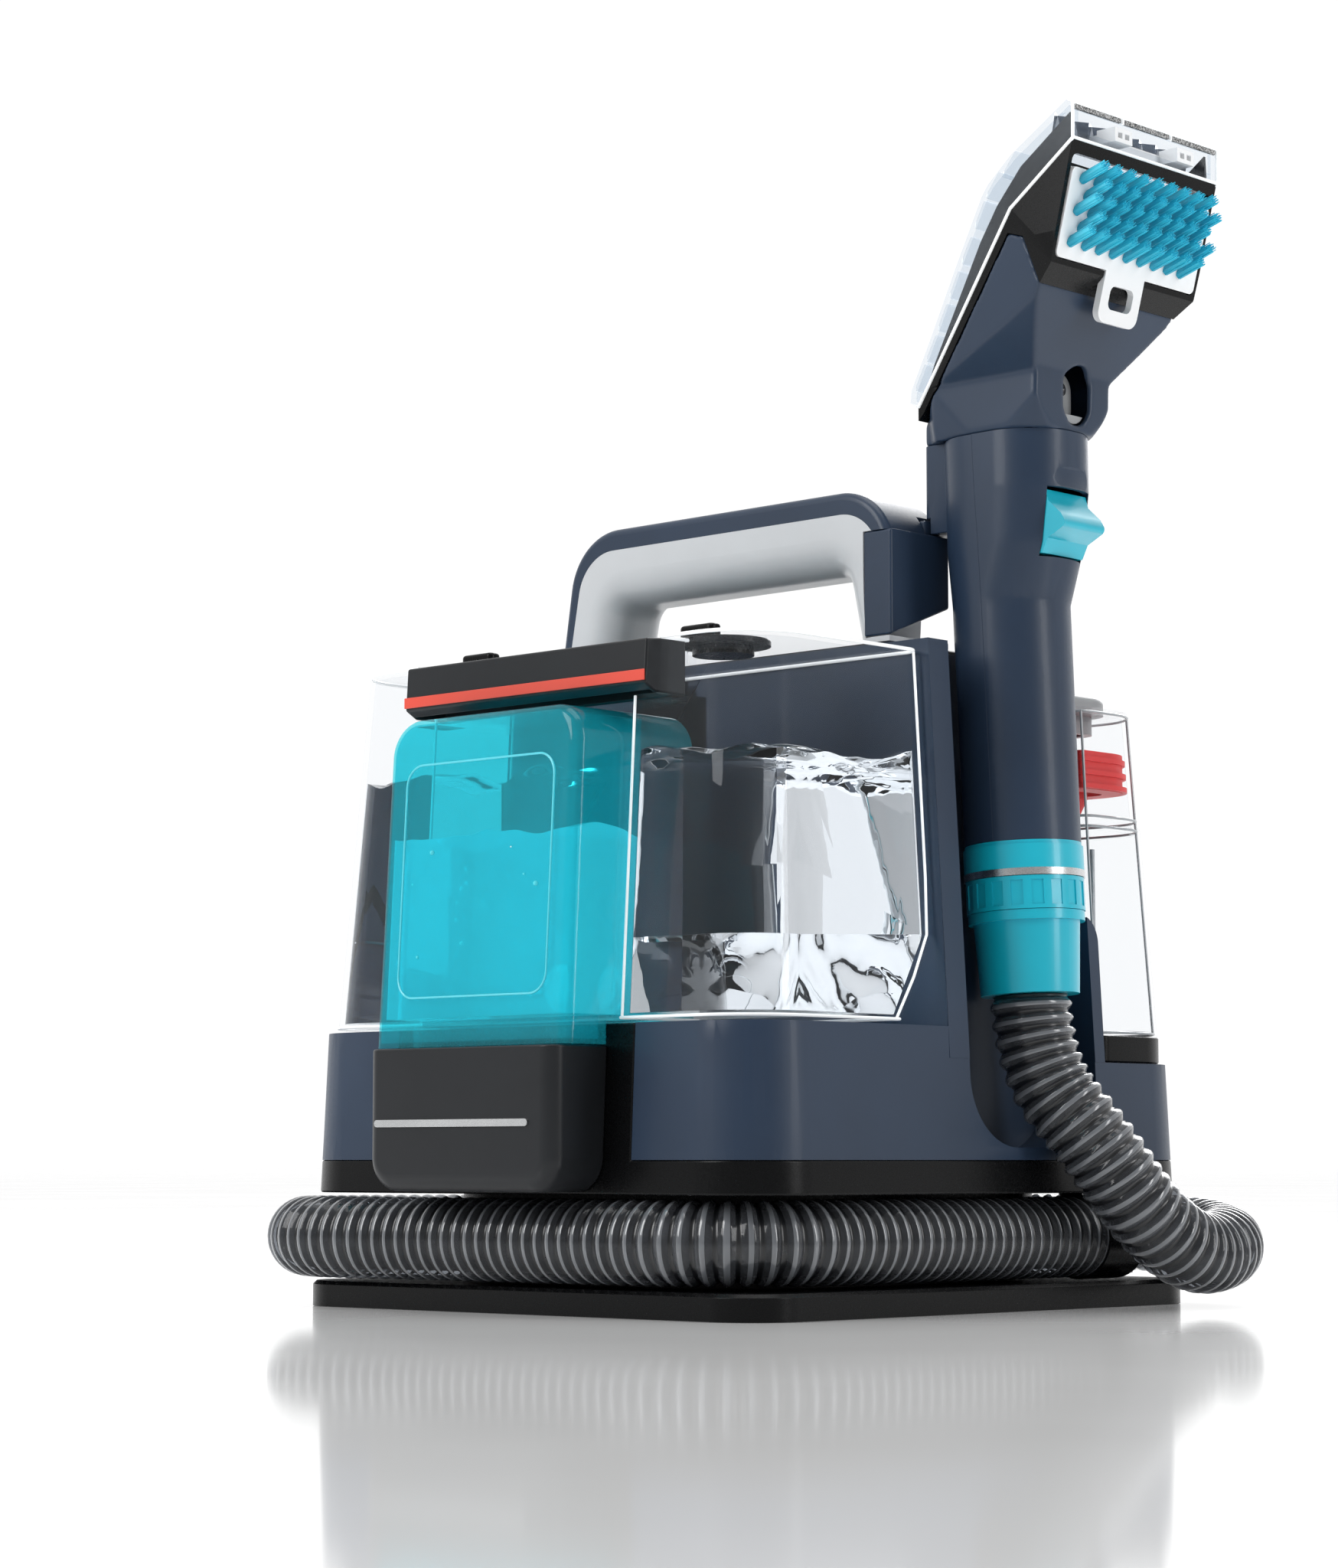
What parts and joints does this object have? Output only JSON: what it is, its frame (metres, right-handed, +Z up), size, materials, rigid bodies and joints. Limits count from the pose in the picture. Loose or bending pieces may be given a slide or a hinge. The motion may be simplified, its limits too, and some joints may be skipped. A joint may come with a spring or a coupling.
{
  "type": "carpet spot cleaner",
  "caption": "Portable carpet spot cleaner: navy body, clear water tanks, teal solution tank, carry handle, wrapped suction hose and a docked hand tool with brush.",
  "frame": {"origin": "middle of the base plate's underside, which rests on the floor", "axes": "+Z up, -Y towards the front with the badge pod and solution tank, +X towards the side where the hand tool is docked"},
  "size_m": [0.3772, 0.3513, 0.499],
  "materials": {
    "navy_casing": "fine satin texture",
    "black_plastic": "fine matt texture",
    "charcoal_plastic": "semi-gloss",
    "handle_grey": "light grey, semi-gloss",
    "coral_stripe": "satin coral red",
    "silver_trim": "satin silver",
    "clear_tank": "clear moulded plastic",
    "teal_tank": "teal tinted clear plastic",
    "teal_plastic": "semi-gloss teal",
    "red_rubber": "red, matt",
    "white_plastic": "white, semi-gloss",
    "grey_plastic": "mid grey, satin",
    "rubber_pad": "matt black",
    "hose_grey": "translucent ribbed grey",
    "bristle_teal": "nylon bristles",
    "steel": "brushed",
    "screw_chrome": "polished",
    "board_green": "circuit board",
    "duct_black": "matt",
    "nozzle_clear": "clear moulded plastic with a pale edge"
  },
  "bodies": {
    "root": {"base_plate": "black_plastic", "foot_pads": "rubber_pad", "base_screws": "steel", "groove_core": "black_plastic", "lower_housing": "black_plastic", "front_pod": "charcoal_plastic", "pod_trim_bar": "silver_trim", "casing_right": "navy_casing", "casing_left": "navy_casing", "top_cover": "charcoal_plastic", "handle_arch": "navy_casing", "handle_liner": "handle_grey", "dock_block": "navy_casing", "exhaust_grille": "black_plastic", "cord_inlet": "rubber_pad", "cord_hook_lower": "black_plastic", "suction_motor": "steel", "fan_housing": "duct_black", "pump": "duct_black", "circuit_board": "board_green", "air_duct": "duct_black", "recovery_duct": "duct_black", "hose_inlet": "black_plastic", "hose": "hose_grey"},
    "fan_rotor": {"fan_impeller": "grey_plastic"},
    "cord_hook": {"cord_hook_upper": "black_plastic"},
    "power_button": {"power_button": "charcoal_plastic"},
    "clean_tank": {"clean_tank": "clear_tank", "clean_tank_valve": "white_plastic", "tank_bar": "charcoal_plastic", "bar_stripe": "coral_stripe"},
    "fill_cap_left": {"fill_cap_left": "black_plastic"},
    "fill_cap_right": {"fill_cap_right": "black_plastic"},
    "solution_tank": {"solution_tank": "teal_tank", "solution_valve": "white_plastic"},
    "dirty_tank": {"dirty_tank": "clear_tank", "dirty_tank_base": "black_plastic", "dirty_tank_lid": "grey_plastic", "standpipe": "clear_tank", "tank_seal": "red_rubber"},
    "float": {"float": "red_rubber"},
    "tool": {"tool_shell_front": "navy_casing", "tool_shell_rear": "navy_casing", "tool_shroud": "navy_casing", "head_frame": "black_plastic", "nozzle_cover": "nozzle_clear", "spray_jets": "white_plastic", "spray_valve": "white_plastic", "suction_tube": "duct_black", "trigger_pin": "steel", "trigger_spring": "steel", "collar_ring": "teal_plastic", "silver_ring": "silver_trim", "hose_cuff": "teal_plastic"},
    "lock_ring": {"lock_ring": "teal_plastic"},
    "trigger": {"trigger": "teal_plastic"},
    "release_lever": {"release_lever": "grey_plastic", "lever_screw": "screw_chrome"},
    "brush_head": {"brush_plate": "white_plastic", "bristle_tufts": "bristle_teal"}
  },
  "joints": [
    {"name": "fan_spin", "type": "hinge", "parent": "root", "child": "fan_rotor", "pos_m": [-0.03, 0.018, 0.2], "axis": [0, 0, 1], "continuous": true},
    {"name": "hook_swivel", "type": "hinge", "parent": "root", "child": "cord_hook", "pos_m": [-0.14, 0.018, 0.24], "axis": [1, 0, 0], "range_deg": [0, 180]},
    {"name": "power_press", "type": "slide", "parent": "root", "child": "power_button", "axis": [0, 0, -1], "range_m": [0, 0.002], "stiffness_N_per_m": 400, "springref_m": -0.001},
    {"name": "clean_tank_lift", "type": "slide", "parent": "root", "child": "clean_tank", "axis": [0, 0, 1], "range_m": [0, 0.06]},
    {"name": "solution_tank_pull", "type": "slide", "parent": "root", "child": "solution_tank", "axis": [0, -1, 0], "range_m": [0, 0.06]},
    {"name": "dirty_tank_lift", "type": "slide", "parent": "root", "child": "dirty_tank", "axis": [0, 0, 1], "range_m": [0, 0.06]},
    {"name": "float_rise", "type": "slide", "parent": "dirty_tank", "child": "float", "axis": [0, 0, 1], "range_m": [0, 0.009]},
    {"name": "left_cap_hinge", "type": "hinge", "parent": "clean_tank", "child": "fill_cap_left", "pos_m": [-0.066, -0.0675, 0.2778], "axis": [-1, 0, 0], "range_deg": [0, 110]},
    {"name": "right_cap_hinge", "type": "hinge", "parent": "clean_tank", "child": "fill_cap_right", "pos_m": [0.066, -0.0675, 0.2778], "axis": [-1, 0, 0], "range_deg": [0, 110]},
    {"name": "tool_lift", "type": "slide", "parent": "root", "child": "tool", "axis": [-0.0506, 0, 0.9987], "range_m": [0, 0.06]},
    {"name": "lock_turn", "type": "hinge", "parent": "tool", "child": "lock_ring", "pos_m": [0.1303, 0.031, 0.194], "axis": [-0.0506, 0, 0.9987], "range_deg": [0, 30]},
    {"name": "trigger_squeeze", "type": "hinge", "parent": "tool", "child": "trigger", "pos_m": [0.146, 0.031, 0.342], "axis": [0, 1, 0], "range_deg": [0, 8], "stiffness_Nm_per_rad": 0.4, "springref_deg": -5.73},
    {"name": "lever_press", "type": "hinge", "parent": "tool", "child": "release_lever", "pos_m": [0.149, 0.034, 0.3765], "axis": [0, -1, 0], "range_deg": [0, 4], "stiffness_Nm_per_rad": 0.5, "springref_deg": -5.73},
    {"name": "brush_release", "type": "slide", "parent": "tool", "child": "brush_head", "axis": [0.9659, 0, -0.2588], "range_m": [0, 0.02]}
  ]
}
